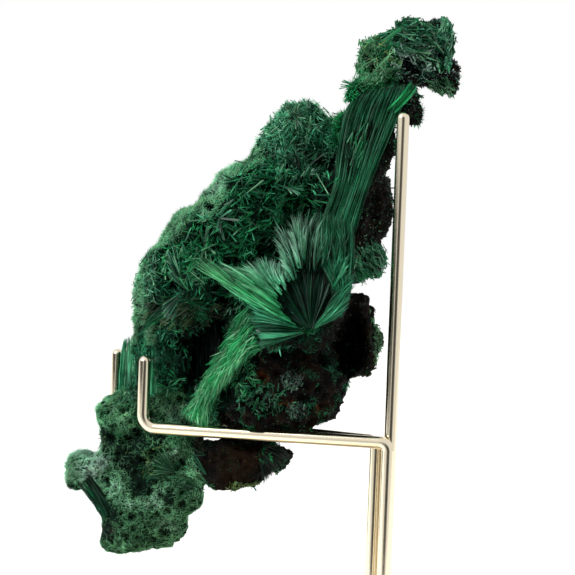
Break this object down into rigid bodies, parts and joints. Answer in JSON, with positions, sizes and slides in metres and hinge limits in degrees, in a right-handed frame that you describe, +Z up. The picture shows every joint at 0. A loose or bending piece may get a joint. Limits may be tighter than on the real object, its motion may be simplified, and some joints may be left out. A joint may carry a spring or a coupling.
{
  "type": "malachite specimen on a wire display stand",
  "caption": "Fibrous malachite specimen, fans and sprays of needle crystals on dark iron-stained matrix, resting on a bent-wire display stand with a plain round base.",
  "frame": {"origin": "centre of the base's underside", "axes": "+Z up, -Y towards the side that the specimen's best face looks to, +X towards the wire post from the specimen"},
  "size_m": [0.1, 0.1, 0.1364],
  "materials": {
    "malachite": "rough, silky fibres",
    "plated_steel": "polished nickel plate"
  },
  "bodies": {
    "root": {"malachite": "malachite", "right_arm_wire": "plated_steel", "left_arm_wire": "plated_steel", "back_post_wire": "plated_steel", "base": "plated_steel"}
  },
  "joints": []
}
